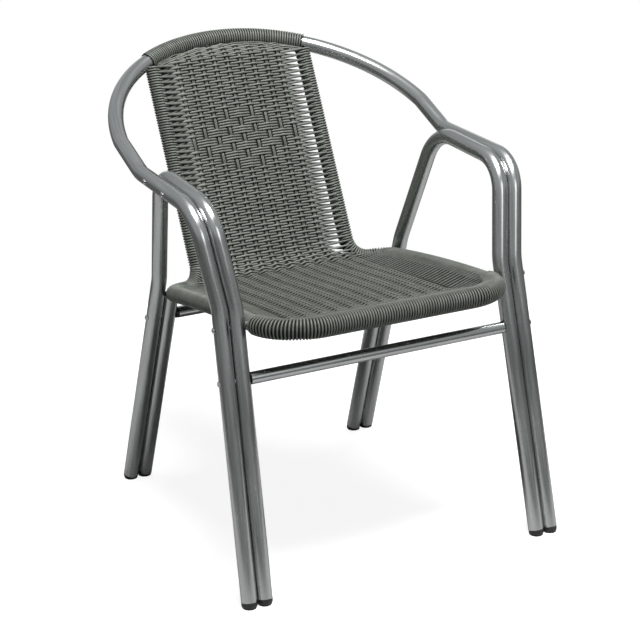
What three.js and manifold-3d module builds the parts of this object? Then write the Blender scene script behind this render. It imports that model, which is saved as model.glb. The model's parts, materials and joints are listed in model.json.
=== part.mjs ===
// A stacking bistro chair: a bent aluminium tube frame that carries a woven seat and back.
// Millimetres. +Z is up, the sitter faces -Y, and +X is on the right of someone who looks along +Y.
import * as THREE from "three";
import { mergeVertices } from "three/addons/utils/BufferGeometryUtils.js";
import Module from "manifold-3d";

const wasm = await Module();
wasm.setup();

// Tubes of the frame
const tubeRadius = 12.5;
const tubeWall = 1.5;
const pairGap = 0.4;
const fitGap = 0.3;

// Outer tube: one length from foot to foot, over both arms and round the back
const frontFootX = 269.8;
const frontFootY = -250;
const frontKneeX = 257.2;
const frontKneeY = -152.7;
const frontKneeZ = 440.9;
const armFrontX = 277.1;
const armFrontY = -119.4;
const armFrontZ = 588.6;
const armFrontBend = 62;
const kneeBend = 110;
const hoopStartBend = 49;
const hoopHalfWidth = 275.3;
const hoopReach = 283.6;
const hoopCentreY = 124;
const hoopCentreZ = 614.9;
const hoopTilt = THREE.MathUtils.degToRad(23.5);
const hoopStartAngle = THREE.MathUtils.degToRad(98.3);

// Side frame tubes: front leg, arm and rear leg on each side
const armRearX = 247.3;
const armRearY = 68.1;
const armRearZ = 601.9;
const armRearBend = 68.8;
const rearKneeX = 224.6;
const rearKneeY = 147.4;
const rearKneeZ = 401.3;
const innerRearLegTopZ = 366;
const rearFootX = 232.7;
const rearFootY = 298.2;

// Rim tube of the seat and back, one length that is bent round the woven surface
const rimRadius = 10;
const rimWall = 1.5;
const uprightX = 139.5;
const uprightTopForward = 11.6;
const uprightTopDrop = 9.4;
const uprightFootY = 173;
const uprightFootZ = 368;
const uprightBend = 36;
const seatSpacerLength = 5.4;
const rimRearY = 153.5;
const rimRearZ = 372;
const rimRearBend = 31;
const rimFrontY = -237;
const rimFrontOverScrew = 4.1;
const rimFrontBend = 76;
const rimSideRise = 6;

// Woven surface and the strand wound on the tubes
const weaveThickness = 7;
const weaveThicknessBetween = 4;
const backWarpPitch = 23.5;
const backWarps = 9;
const seatWarpPitch = 26.6;
const seatWarps = 11;
const strandThickness = 2;
const sideWrapThickness = 3.2;
const backSag = 8;
const seatSink = 6;
const seatEdgeBand = 64;
const seatEdgeRise = 9;
const seatBackBend = 50;
const weaveHoopDrop = 12;
const weaveHoopForward = 9;
const hoopWrapHalfWidth = 144;
const wrapTurns = 24;
const wrapStrandWidth = 8;
const wrapStrandThickness = 1.8;
const rollInset = 6;
const rollStrandWidth = 6.5;
const rollTipReach = 32;
const rollTipRise = 5;
const rollCornerClearance = 4;

// Stretchers, spacers and fasteners
const stretcherRadius = 9.5;
const stretcherWall = 1.5;
const frontStretcherZ = 335;
const rearStretcherZ = 330;
const seatScrewZ = 413.5;
const insertLength = 26;
const rearSpacerThickness = 3;
const seatSpacerRadius = 5;
const screwRadius = 3;
const screwHeadRadius = 4.6;
const screwHeadHeight = 2.6;
const screwBite = 18;
const seatScrewBite = 6;
const rivetRadius = 2.4;
const rivetHeadRadius = 4.4;
const rivetHeadHeight = 1.8;
const rivetBite = 6;
const armRivetYs = [42, -28];

// Foot glides
const glideHeight = 9;
const glideSoleRadius = 9;
const glideChamfer = 4;
const glidePlugLength = 14;

// Facets
const tubeSides = 10;
const boreSides = 6;
const smallSides = 10;
const arcStep = THREE.MathUtils.degToRad(18);
const hoopSteps = 12;
const sideSteps = 4;
const wrapStepsPerTurn = 10;
const backRows = 3;
const seatRows = 5;
const bendRows = 4;
const weldDistance = 0.001;
const overrun = 40;

const aluminium = new THREE.MeshStandardMaterial({ color: 0xb9babc, roughness: 0.25, metalness: 1 });
const strand = new THREE.MeshStandardMaterial({ color: 0x6f7570, roughness: 0.55, metalness: 0 });
const blackPlastic = new THREE.MeshStandardMaterial({ color: 0x1b1b1c, roughness: 0.5, metalness: 0 });
const steel = new THREE.MeshStandardMaterial({ color: 0xd0d1d3, roughness: 0.2, metalness: 1 });

const chair = new THREE.Group();
const up = new THREE.Vector3(0, 1, 0);
const v3 = (x, y, z) => new THREE.Vector3(x, y, z);
const mirrored = (point, side) => v3(point.x * side, point.y, point.z);
const sideName = (side) => (side < 0 ? "left" : "right");

// Points along straight lines joined by round bends
function bentRun(corners, radii) {
  const points = [corners[0].clone()];
  for (let i = 1; i < corners.length - 1; i += 1) {
    const toLast = corners[i - 1].clone().sub(corners[i]).normalize();
    const toNext = corners[i + 1].clone().sub(corners[i]).normalize();
    const half = toLast.angleTo(toNext) / 2;
    const sweep = Math.PI - 2 * half;
    const middle = toLast.clone().add(toNext).normalize();
    const centre = corners[i].clone().addScaledVector(middle, radii[i - 1] / Math.sin(half));
    const start = corners[i].clone().addScaledVector(toLast, radii[i - 1] / Math.tan(half));
    const spoke = start.sub(centre);
    const axis = toNext.clone().cross(toLast).normalize();
    const steps = Math.max(2, Math.ceil(sweep / arcStep));
    for (let k = 0; k <= steps; k += 1) {
      const turned = spoke.clone().applyAxisAngle(axis, (sweep * k) / steps);
      points.push(turned.add(centre));
    }
  }
  points.push(corners[corners.length - 1].clone());
  return points;
}

// Rings along points: each has a place, a direction and a normal that doesn't twist
function ringsAlong(points, firstNormal) {
  const rings = [];
  let normal = firstNormal.clone();
  points.forEach((point, i) => {
    const before = points[Math.max(i - 1, 0)];
    const after = points[Math.min(i + 1, points.length - 1)];
    const into = point.clone().sub(before).normalize();
    const out = after.clone().sub(point).normalize();
    const tangent = into.add(out).normalize();
    normal = normal.clone().addScaledVector(tangent, -normal.dot(tangent)).normalize();
    rings.push({ point: point.clone(), tangent, normal });
  });
  return rings;
}

// A curve whose rings are given one by one, for ExtrudeGeometry
class RingCurve extends THREE.Curve {
  constructor(rings) {
    super();
    this.rings = rings;
  }

  getPoint(share) {
    return this.rings[Math.round(share * (this.rings.length - 1))].point.clone();
  }

  getPointAt(share) {
    return this.getPoint(share);
  }

  computeFrenetFrames() {
    const tangents = this.rings.map((ring) => ring.tangent);
    const normals = this.rings.map((ring) => ring.normal);
    const binormals = this.rings.map((ring) => ring.tangent.clone().cross(ring.normal));
    return { tangents, normals, binormals };
  }
}

function circlePoints(radius, sides) {
  const points = [];
  for (let i = 0; i < sides; i += 1) {
    const angle = (2 * Math.PI * i) / sides;
    points.push(new THREE.Vector2(radius * Math.cos(angle), radius * Math.sin(angle)));
  }
  return points;
}

function sweep(outline, bore, rings) {
  const shape = new THREE.Shape(outline);
  if (bore) shape.holes.push(new THREE.Path(bore));
  const curve = new RingCurve(rings);
  return new THREE.ExtrudeGeometry(shape, { extrudePath: curve, steps: rings.length - 1 });
}

function tube(rings, radius, wall) {
  const bore = wall ? circlePoints(radius - wall, boreSides) : null;
  return sweep(circlePoints(radius, tubeSides), bore, rings);
}

function sleeve(rings, innerRadius, outerRadius) {
  return sweep(circlePoints(outerRadius, tubeSides), circlePoints(innerRadius, tubeSides), rings);
}

function rod(from, to, radius, sides = smallSides) {
  const across = Math.abs(to.x - from.x) > Math.abs(to.z - from.z) ? v3(0, 0, 1) : v3(1, 0, 0);
  return sweep(circlePoints(radius, sides), null, ringsAlong([from, to], across));
}

function solidOf(geometry) {
  const bare = new THREE.BufferGeometry().setAttribute("position", geometry.getAttribute("position"));
  if (geometry.index) bare.setIndex(geometry.index);
  const welded = mergeVertices(bare, weldDistance);
  const vertProperties = new Float32Array(welded.attributes.position.array);
  const triVerts = new Uint32Array(welded.index.array);
  return new wasm.Manifold(new wasm.Mesh({ numProp: 3, vertProperties, triVerts }));
}

function geometryOf(solid) {
  const mesh = solid.getMesh();
  const geometry = new THREE.BufferGeometry();
  geometry.setAttribute("position", new THREE.BufferAttribute(mesh.vertProperties, 3));
  geometry.setIndex(new THREE.BufferAttribute(mesh.triVerts, 1));
  return geometry;
}

function largestOf(solid) {
  return solid.decompose().reduce((best, piece) => (piece.volume() > best.volume() ? piece : best));
}

function cut(geometry, cutters) {
  const solid = cutters.reduce((left, cutter) => left.subtract(solidOf(cutter)), solidOf(geometry));
  return geometryOf(largestOf(solid));
}

function addPiece(name, geometry, material, parent = chair) {
  const mesh = new THREE.Mesh(geometry, material);
  mesh.name = name;
  parent.add(mesh);
  return mesh;
}

// Where the tubes run. Every run is given for the right side, x above zero
const pairStep = 2 * tubeRadius + pairGap;
const inward = (point, steps) => v3(point.x - steps * pairStep, point.y, point.z);
const frontFoot = v3(frontFootX, frontFootY, 0);
const frontKnee = v3(frontKneeX, frontKneeY, frontKneeZ);
const armFront = v3(armFrontX, armFrontY, armFrontZ);
const rearKnee = v3(rearKneeX, rearKneeY, rearKneeZ);
const rearFoot = v3(rearFootX, rearFootY, 0);

function alongLeg(foot, knee, z) {
  return foot.clone().lerp(knee, z / knee.z);
}

// A leg tube starts above the floor, on its glide
const aboveGlide = (foot, knee) => alongLeg(foot, knee, glideHeight);

function hoopPoint(angle) {
  const reach = hoopReach * Math.cos(angle);
  const y = hoopCentreY + reach * Math.cos(hoopTilt);
  const z = hoopCentreZ + reach * Math.sin(hoopTilt);
  return v3(hoopHalfWidth * Math.sin(angle), y, z);
}

function hoopAt(x) {
  return hoopPoint(Math.asin(x / hoopHalfWidth));
}

const frontLegAt = (z) => alongLeg(frontFoot, frontKnee, z);
const rearLegAt = (z) => alongLeg(rearFoot, rearKnee, z);
const seatScrewAt = frontLegAt(seatScrewZ);
const seatSpacerOuter = seatScrewAt.x - pairStep - tubeRadius - fitGap;
const seatSpacerInner = seatSpacerOuter - seatSpacerLength;
const rimHalfWidth = seatSpacerInner - fitGap - rimRadius;
const rimFrontZ = seatScrewZ + rimFrontOverScrew;
const rollHalfWidth = rimHalfWidth - rimFrontBend - rollInset;
const seatFlatHalfWidth = rimHalfWidth - seatEdgeBand;
const uprightTop = hoopAt(uprightX).add(v3(0, -uprightTopForward, -uprightTopDrop));

function outerRun() {
  const startAngle = hoopStartAngle;
  const beyondStart = startAngle * (1 - 2 / hoopSteps);
  const corners = [aboveGlide(frontFoot, frontKnee), frontKnee, armFront];
  corners.push(hoopPoint(startAngle), hoopPoint(beyondStart));
  const half = bentRun(corners, [kneeBend, armFrontBend, hoopStartBend]);
  for (let i = 3; i <= hoopSteps; i += 1) half.push(hoopPoint(startAngle * (1 - i / hoopSteps)));
  const otherHalf = half.slice(0, -1).reverse().map((point) => mirrored(point, -1));
  return half.concat(otherHalf);
}

function sideRun(side) {
  const corners = [
    inward(aboveGlide(frontFoot, frontKnee), 1),
    inward(frontKnee, 1),
    inward(armFront, 1),
    v3(armRearX, armRearY, armRearZ),
    rearKnee,
    aboveGlide(rearFoot, rearKnee),
  ];
  const run = bentRun(corners, [kneeBend, armFrontBend, armRearBend, kneeBend]);
  return run.map((point) => mirrored(point, side));
}

// The rim tube rises a little between its rear and front corners
function withSideRise(point) {
  const share = THREE.MathUtils.clamp((point.y - rimFrontY) / (rimRearY - rimFrontY), 0, 1);
  return v3(point.x, point.y, point.z + 4 * rimSideRise * share * (1 - share));
}

function rimHalfRun() {
  const rear = v3(rimHalfWidth, rimRearY, rimRearZ);
  const front = v3(rimHalfWidth, rimFrontY, rimFrontZ);
  const corners = [
    uprightTop,
    v3(uprightX, uprightFootY, uprightFootZ),
    rear,
    front,
    v3(0, rimFrontY, rimFrontZ),
  ];
  const bends = bentRun(corners, [uprightBend, rimRearBend, rimFrontBend]);
  const run = [];
  bends.forEach((point, i) => {
    const last = bends[i - 1];
    const onSide = last && point.x > rimHalfWidth - fitGap && last.y - point.y > rimFrontBend;
    for (let k = 1; onSide && k < sideSteps; k += 1) run.push(last.clone().lerp(point, k / sideSteps));
    run.push(point);
  });
  return run.map(withSideRise);
}

function rimRings() {
  const half = rimHalfRun();
  const otherHalf = half.slice(0, -1).reverse().map((point) => mirrored(point, -1));
  return ringsAlong(half.concat(otherHalf), v3(1, 0, 0));
}

function railZ(y) {
  const share = THREE.MathUtils.clamp((y - rimFrontY) / (rimRearY - rimFrontY), 0, 1);
  return THREE.MathUtils.lerp(rimFrontZ, rimRearZ, share) + 4 * rimSideRise * share * (1 - share);
}

// Fasteners: each runs inward along X from the outer face of the outer tube
function armAt(y) {
  const hoopStart = hoopPoint(hoopStartAngle);
  return armFront.clone().lerp(hoopStart, (y - armFrontY) / (hoopStart.y - armFrontY));
}

const frontScrewAt = frontLegAt(frontStretcherZ);
const rearScrewAt = rearLegAt(rearStretcherZ);
const rearSpacerOuter = rearScrewAt.x - pairStep - tubeRadius - fitGap;
const rearStretcherEnd = rearSpacerOuter - rearSpacerThickness - fitGap;
const frontStretcherEnd = frontScrewAt.x - pairStep;

function fastenerList() {
  const list = [
    { name: "seat_screw", at: seatScrewAt, end: rimHalfWidth + rimRadius - seatScrewBite, screw: true },
    { name: "front_stretcher_screw", at: frontScrewAt, end: frontStretcherEnd - tubeRadius - screwBite, screw: true },
    { name: "rear_stretcher_screw", at: rearScrewAt, end: rearStretcherEnd - screwBite, screw: true },
  ];
  armRivetYs.forEach((y, i) => {
    const at = armAt(y);
    list.push({ name: "arm_rivet_" + (i + 1), at, end: at.x - pairStep + tubeRadius - rivetBite, screw: false });
  });
  return list;
}

const shankOf = (item) => (item.screw ? screwRadius : rivetRadius);

function fastenerHoles(side) {
  return fastenerList().map((item) => {
    const from = mirrored(v3(item.at.x + overrun, item.at.y, item.at.z), side);
    const to = mirrored(v3(item.end - fitGap, item.at.y, item.at.z), side);
    return rod(from, to, shankOf(item) + fitGap);
  });
}

function fastener(item) {
  const headRadius = item.screw ? screwHeadRadius : rivetHeadRadius;
  const headHeight = item.screw ? screwHeadHeight : rivetHeadHeight;
  const shank = shankOf(item);
  const length = item.at.x + tubeRadius + fitGap - item.end;
  const crownShare = 0.62;
  const profile = [
    new THREE.Vector2(0, 0),
    new THREE.Vector2(shank, 0),
    new THREE.Vector2(shank, length),
    new THREE.Vector2(headRadius, length),
    new THREE.Vector2(headRadius, length + headHeight / 2),
    new THREE.Vector2(headRadius * crownShare, length + headHeight),
    new THREE.Vector2(0, length + headHeight),
  ];
  return new THREE.LatheGeometry(profile, smallSides);
}

function addFasteners() {
  [-1, 1].forEach((side) => {
    fastenerList().forEach((item) => {
      const mesh = addPiece(sideName(side) + "_" + item.name, fastener(item), steel);
      mesh.position.copy(mirrored(v3(item.end, item.at.y, item.at.z), side));
      mesh.quaternion.setFromUnitVectors(up, v3(side, 0, 0));
    });
  });
}

function addFrameTubes() {
  const bothSides = fastenerHoles(-1).concat(fastenerHoles(1));
  const outer = tube(ringsAlong(outerRun(), v3(1, 0, 0)), tubeRadius, tubeWall);
  addPiece("outer_frame_tube", cut(outer, bothSides), aluminium);
  [-1, 1].forEach((side) => {
    const holes = fastenerHoles(side);
    const inner = tube(ringsAlong(sideRun(side), v3(1, 0, 0)), tubeRadius, tubeWall);
    addPiece(sideName(side) + "_side_frame_tube", cut(inner, holes), aluminium);
    const top = mirrored(inward(rearLegAt(innerRearLegTopZ), 1), side);
    const bottom = mirrored(inward(aboveGlide(rearFoot, rearKnee), 1), side);
    const leg = tube(ringsAlong([bottom, top], v3(1, 0, 0)), tubeRadius, tubeWall);
    const seat = tube(rimRings(), rimRadius + sideWrapThickness + fitGap, 0);
    addPiece(sideName(side) + "_rear_leg_tube", lowestOf(leg, holes.concat([seat])), aluminium);
  });
}

// What is left of a leg under the seat's rim
function lowestOf(geometry, cutters) {
  const solid = cutters.reduce((left, cutter) => left.subtract(solidOf(cutter)), solidOf(geometry));
  const lowest = (piece) => piece.boundingBox().min[2];
  return geometryOf(solid.decompose().reduce((best, piece) => (lowest(piece) < lowest(best) ? piece : best)));
}

function addRim() {
  const rings = rimRings();
  const hoop = wrappedHoop();
  const seatHoles = [-1, 1].map((side) => {
    const from = mirrored(v3(seatScrewAt.x, seatScrewAt.y, seatScrewAt.z), side);
    const to = mirrored(v3(rimHalfWidth, seatScrewAt.y, seatScrewAt.z), side);
    return rod(from, to, screwRadius + fitGap);
  });
  addPiece("seat_and_back_rim_tube", cut(tube(rings, rimRadius, rimWall), [hoop].concat(seatHoles)), aluminium);
  addRimWraps(rings, hoop);
}

// The strand wound on the rim, as one skin for each upright and one for each side of the seat
function addRimWraps(rings, hoop) {
  const half = rings.slice(0, (rings.length + 1) / 2);
  const bendEnd = half.findIndex((ring) => ring.point.x > uprightX + fitGap) - 1;
  const cornerEnd = half.findIndex((ring) => ring.point.x < rimHalfWidth - rimFrontBend + fitGap && ring.point.y < 0);
  [-1, 1].forEach((side) => {
    const own = side > 0 ? rings : backwards(rings);
    const upright = own.slice(0, bendEnd + 1);
    const seatSide = own.slice(bendEnd, cornerEnd + 1);
    const inner = rimRadius + fitGap;
    const uprightSkin = cut(sleeve(upright, inner, rimRadius + fitGap + strandThickness), [hoop]);
    addPiece(sideName(side) + "_upright_wrap", uprightSkin, strand);
    const start = seatSide[0];
    const shifted = { ...start, point: start.point.clone().addScaledVector(start.tangent, fitGap) };
    const sideRings = [shifted].concat(seatSide.slice(1));
    const spacerHole = seatSpacerHole(side);
    const skin = cut(sleeve(sideRings, inner, rimRadius + sideWrapThickness), [spacerHole]);
    addPiece(sideName(side) + "_seat_side_wrap", skin, strand);
  });
}

// The same rings, followed from the other end
function backwards(rings) {
  return rings.map((ring) => ({ ...ring, tangent: ring.tangent.clone().negate() })).reverse();
}

function seatSpacerHole(side) {
  const from = mirrored(v3(seatScrewAt.x, seatScrewAt.y, seatScrewAt.z), side);
  const to = mirrored(v3(rimHalfWidth, seatScrewAt.y, seatScrewAt.z), side);
  return rod(from, to, seatSpacerRadius + fitGap);
}

// A strand wound round a tube in one unbroken run, as rings of a flat section
function woundRings(turns, placeAt) {
  const steps = turns * wrapStepsPerTurn;
  const points = [];
  const axes = [];
  for (let i = 0; i <= steps; i += 1) {
    const place = placeAt(i / steps, (2 * Math.PI * i) / wrapStepsPerTurn);
    points.push(place.point);
    axes.push(place.axis);
  }
  const rings = ringsAlong(points, axes[0]);
  rings.forEach((ring, i) => {
    ring.normal = axes[i].clone().addScaledVector(ring.tangent, -axes[i].dot(ring.tangent)).normalize();
  });
  return rings;
}

function flatSection(width, thickness) {
  const edgeShare = 0.3;
  const w = width / 2;
  const t = thickness / 2;
  const inner = w * (1 - edgeShare);
  const points = [[w, 0], [inner, t], [-inner, t], [-w, 0], [-inner, -t], [inner, -t]];
  return points.map(([x, y]) => new THREE.Vector2(x, y));
}

// Least distance between two turns of a wound strand, less its width
function leastGap(rings, width) {
  let least = Infinity;
  for (let i = 0; i + wrapStepsPerTurn < rings.length; i += 1) {
    least = Math.min(least, rings[i].point.distanceTo(rings[i + wrapStepsPerTurn].point));
  }
  return least - width;
}

// A wound strand is straight between its rings, so they stand a little further out
const woundRadius = (core) => (core + fitGap + wrapStrandThickness / 2) / Math.cos(Math.PI / wrapStepsPerTurn);

// Middle of the hoop's tube at x, on the straight stretches between its rings
function hoopChainAt(x) {
  const chain = outerRun();
  const next = chain.findIndex((point, i) => i > chain.length / 3 && point.x <= x);
  const last = chain[next - 1];
  return last.clone().lerp(chain[next], (last.x - x) / (last.x - chain[next].x));
}

// The hoop with its wound strand and a little room, to cut what ends under it
function wrappedHoop() {
  const clearRadius = woundRadius(tubeRadius) + wrapStrandThickness / 2 + fitGap;
  return tube(ringsAlong(outerRun(), v3(1, 0, 0)), clearRadius / Math.cos(Math.PI / tubeSides), 0);
}

function hoopWrapPlace(share, angle) {
  const x = hoopWrapHalfWidth * (2 * share - 1);
  const axis = hoopAt(x + wrapStrandWidth).sub(hoopAt(x - wrapStrandWidth)).normalize();
  const lift = v3(0, -Math.sin(hoopTilt), Math.cos(hoopTilt));
  const outwards = axis.clone().cross(lift).normalize();
  const radius = woundRadius(tubeRadius);
  const point = hoopChainAt(x).addScaledVector(outwards, radius * Math.cos(angle));
  return { point: point.addScaledVector(lift, radius * Math.sin(angle)), axis };
}

// One turn of the front roll goes round the rim and back to a tip behind it
function rollPlace(share, angle) {
  const reachPower = 3;
  const base = woundRadius(rimRadius);
  const tipAngle = Math.atan2(rollTipRise, rollTipReach);
  const towardsTip = Math.max(0, Math.cos(angle - tipAngle)) ** reachPower;
  const radius = base + (Math.hypot(rollTipReach, rollTipRise) - base) * towardsTip;
  const x = rollHalfWidth * (2 * share - 1);
  const y = rimFrontY + radius * Math.cos(angle);
  const z = rimFrontZ + radius * Math.sin(angle);
  return { point: v3(x, y, z), axis: v3(1, 0, 0) };
}

// The box that the front roll takes up, which the woven seat keeps clear of
function frontRollRoom() {
  const width = 2 * (rollHalfWidth + rollCornerClearance);
  const rear = rimFrontY + rollTipReach + wrapStrandThickness + fitGap;
  const room = new THREE.BoxGeometry(width, 2 * overrun, 2 * overrun);
  return room.translate(0, rear - overrun, rimFrontZ);
}

function addWoundStrands() {
  const hoopRings = woundRings(wrapTurns, hoopWrapPlace);
  addPiece("hoop_wrap", sweep(flatSection(wrapStrandWidth, wrapStrandThickness), null, hoopRings), strand);
  console.log("hoop_wrap least gap between turns", leastGap(hoopRings, wrapStrandWidth).toFixed(2));
  const rollRings = woundRings(wrapTurns, rollPlace);
  addPiece("front_roll_wrap", sweep(flatSection(rollStrandWidth, wrapStrandThickness), null, rollRings), strand);
  console.log("front_roll_wrap least gap between turns", leastGap(rollRings, rollStrandWidth).toFixed(2));
}

// Places across the woven surface: every warp, halfway between warps, and both edges
function warpPlaces(pitch, warps) {
  const reach = (pitch * (warps - 1)) / 2;
  const places = [];
  for (let i = 0; i < 2 * warps - 1; i += 1) places.push({ x: -reach + (pitch * i) / 2, onWarp: i % 2 === 0 });
  return places;
}

// The weave is thick where the strands cross a warp, and thin between the warps and at the edges
function weaveThicknesses(places) {
  const across = places.map((place) => (place.onWarp ? weaveThickness : weaveThicknessBetween));
  return [weaveThicknessBetween, ...across, weaveThicknessBetween];
}

// A row of the woven surface: its places across, and both edges
function rowAcross(places, halfWidth, pointAt) {
  const inside = places.map((place) => pointAt(place.x));
  return [pointAt(-halfWidth), ...inside, pointAt(halfWidth)];
}

// A closed sheet through a grid of points, with a thickness for each column
function sheet(grid, thicknesses) {
  const rows = grid.length;
  const columns = grid[0].length;
  const at = (r, c) => grid[THREE.MathUtils.clamp(r, 0, rows - 1)][THREE.MathUtils.clamp(c, 0, columns - 1)];
  const positions = [];
  [1, -1].forEach((face) => {
    for (let r = 0; r < rows; r += 1) {
      for (let c = 0; c < columns; c += 1) {
        const across = at(r, c + 1).clone().sub(at(r, c - 1));
        const along = at(r + 1, c).clone().sub(at(r - 1, c));
        const normal = across.cross(along).normalize();
        positions.push(...at(r, c).clone().addScaledVector(normal, (face * thicknesses[c]) / 2).toArray());
      }
    }
  });
  const index = [];
  const id = (face, r, c) => face * rows * columns + r * columns + c;
  const quad = (a, b, c, d) => index.push(a, b, c, a, c, d);
  for (let r = 0; r < rows - 1; r += 1) {
    for (let c = 0; c < columns - 1; c += 1) {
      quad(id(0, r, c), id(0, r, c + 1), id(0, r + 1, c + 1), id(0, r + 1, c));
      quad(id(1, r, c), id(1, r + 1, c), id(1, r + 1, c + 1), id(1, r, c + 1));
    }
    quad(id(0, r, 0), id(0, r + 1, 0), id(1, r + 1, 0), id(1, r, 0));
    quad(id(0, r + 1, columns - 1), id(0, r, columns - 1), id(1, r, columns - 1), id(1, r + 1, columns - 1));
  }
  for (let c = 0; c < columns - 1; c += 1) {
    quad(id(0, 0, c + 1), id(0, 0, c), id(1, 0, c), id(1, 0, c + 1));
    quad(id(0, rows - 1, c), id(0, rows - 1, c + 1), id(1, rows - 1, c + 1), id(1, rows - 1, c));
  }
  const geometry = new THREE.BufferGeometry();
  geometry.setAttribute("position", new THREE.Float32BufferAttribute(positions, 3));
  geometry.setIndex(index);
  return geometry;
}

const uprightSlope = (uprightTop.y - uprightFootY) / (uprightTop.z - uprightFootZ);

// Middle of the woven back at x and height z: it hangs a little behind the uprights
function backPoint(x, z) {
  const sag = backSag * (1 - (x / uprightX) ** 2);
  return v3(x, uprightFootY + uprightSlope * (z - uprightFootZ) + sag, z);
}

function seatPoint(x, y) {
  const beyond = Math.max(0, Math.abs(x) - seatFlatHalfWidth) / (rimHalfWidth - seatFlatHalfWidth);
  return v3(x, y, railZ(y) - seatSink + (seatSink + seatEdgeRise) * beyond);
}

// Side view of the bend between seat and back, at one distance from the middle
function bendCorner(x) {
  const steps = 6;
  let z = railZ(rimRearY) - seatSink;
  for (let i = 0; i < steps; i += 1) z = seatPoint(Math.min(Math.abs(x), uprightX), backPoint(x, z).y).z;
  return backPoint(x, z);
}

function bendRun(x) {
  const corner = bendCorner(x);
  const seatEnd = seatPoint(Math.min(Math.abs(x), uprightX), corner.y - 2 * seatBackBend);
  const above = backPoint(x, corner.z + 2 * seatBackBend);
  seatEnd.x = x;
  const run = bentRun([seatEnd, corner, above], [seatBackBend]);
  return new THREE.CatmullRomCurve3(run.slice(1, -1));
}

function addWovenBack(cutters) {
  const grid = [];
  const places = warpPlaces(backWarpPitch, backWarps);
  const columnsAt = (pointAt) => rowAcross(places, uprightX, pointAt);
  const splitShare = 0.5;
  for (let r = 0; r < bendRows; r += 1) {
    const share = splitShare + ((1 - splitShare) * r) / bendRows;
    grid.push(columnsAt((x) => bendRun(x).getPoint(share)));
  }
  for (let r = 0; r <= backRows; r += 1) {
    grid.push(columnsAt((x) => bendRun(x).getPoint(1).lerp(backPoint(x, uprightTop.z), r / backRows)));
  }
  grid.push(columnsAt((x) => hoopAt(x).add(v3(0, -weaveHoopForward, -weaveHoopDrop - strandThickness))));
  addPiece("woven_back", cut(sheet(grid, weaveThicknesses(places)), cutters), strand);
}

function halfWidthAt(y) {
  const share = THREE.MathUtils.clamp((y - rimRearY) / (uprightFootY - rimRearY), 0, 1);
  return THREE.MathUtils.lerp(rimHalfWidth, uprightX, share);
}

function addWovenSeat(cutters) {
  const grid = [];
  const places = warpPlaces(seatWarpPitch, seatWarps);
  const bendStartY = bendRun(0).getPoint(0).y;
  for (let r = 0; r <= seatRows; r += 1) {
    const y = THREE.MathUtils.lerp(rimFrontY, bendStartY, r / seatRows);
    grid.push(rowAcross(places, rimHalfWidth, (x) => seatPoint(x, y)));
  }
  const splitShare = 0.5;
  const splitGapShare = 0.02;
  for (let r = 1; r <= bendRows; r += 1) {
    const share = ((splitShare - splitGapShare) * r) / bendRows;
    const width = halfWidthAt(bendRun(0).getPoint(share).y);
    grid.push(rowAcross(places, width, (x) => bendRun(x).getPoint(share)));
  }
  addPiece("woven_seat", cut(sheet(grid, weaveThicknesses(places)), cutters), strand);
}

function addStretchers() {
  const legGap = tubeRadius + fitGap;
  const frontEnd = v3(frontStretcherEnd, frontScrewAt.y, frontStretcherZ);
  const bar = sleeve(
    ringsAlong([mirrored(frontEnd, -1), frontEnd], v3(0, 0, 1)),
    stretcherRadius - stretcherWall,
    stretcherRadius,
  );
  const legs = [-1, 1].map((side) => tube(ringsAlong(sideRun(side), v3(1, 0, 0)), legGap, 0));
  addPiece("front_stretcher", cut(bar, legs), aluminium);
  const rearEnd = v3(rearStretcherEnd, rearScrewAt.y, rearStretcherZ);
  const rearBar = sleeve(
    ringsAlong([mirrored(rearEnd, -1), rearEnd], v3(0, 0, 1)),
    stretcherRadius - stretcherWall,
    stretcherRadius,
  );
  addPiece("rear_stretcher", rearBar, aluminium);
  [-1, 1].forEach((side) => {
    const frontInsertEnd = frontStretcherEnd - legGap - fitGap;
    addInsert(sideName(side) + "_front_stretcher_insert", frontScrewAt, frontInsertEnd, side);
    addInsert(sideName(side) + "_rear_stretcher_insert", rearScrewAt, rearStretcherEnd, side);
    addSpacer(sideName(side) + "_rear_spacer", rearScrewAt, rearSpacerOuter, rearSpacerThickness, stretcherRadius, side);
    addSpacer(sideName(side) + "_seat_spacer", seatScrewAt, seatSpacerOuter, seatSpacerLength, seatSpacerRadius, side);
  });
}

// A ring round a screw, from an outer face inwards
function addSpacer(name, at, outerX, length, radius, side) {
  const from = mirrored(v3(outerX, at.y, at.z), side);
  const to = mirrored(v3(outerX - length, at.y, at.z), side);
  const rings = ringsAlong([from, to], v3(0, 0, 1));
  const material = radius === seatSpacerRadius ? aluminium : blackPlastic;
  addPiece(name, sleeve(rings, screwRadius + fitGap, radius), material);
}

function addInsert(name, at, outerX, side) {
  const bore = (stretcherRadius - stretcherWall) * Math.cos(Math.PI / tubeSides);
  const from = mirrored(v3(outerX, at.y, at.z), side);
  const to = mirrored(v3(outerX - insertLength, at.y, at.z), side);
  addPiece(name, sleeve(ringsAlong([from, to], v3(0, 0, 1)), screwRadius + fitGap, bore - fitGap), blackPlastic);
}

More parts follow.
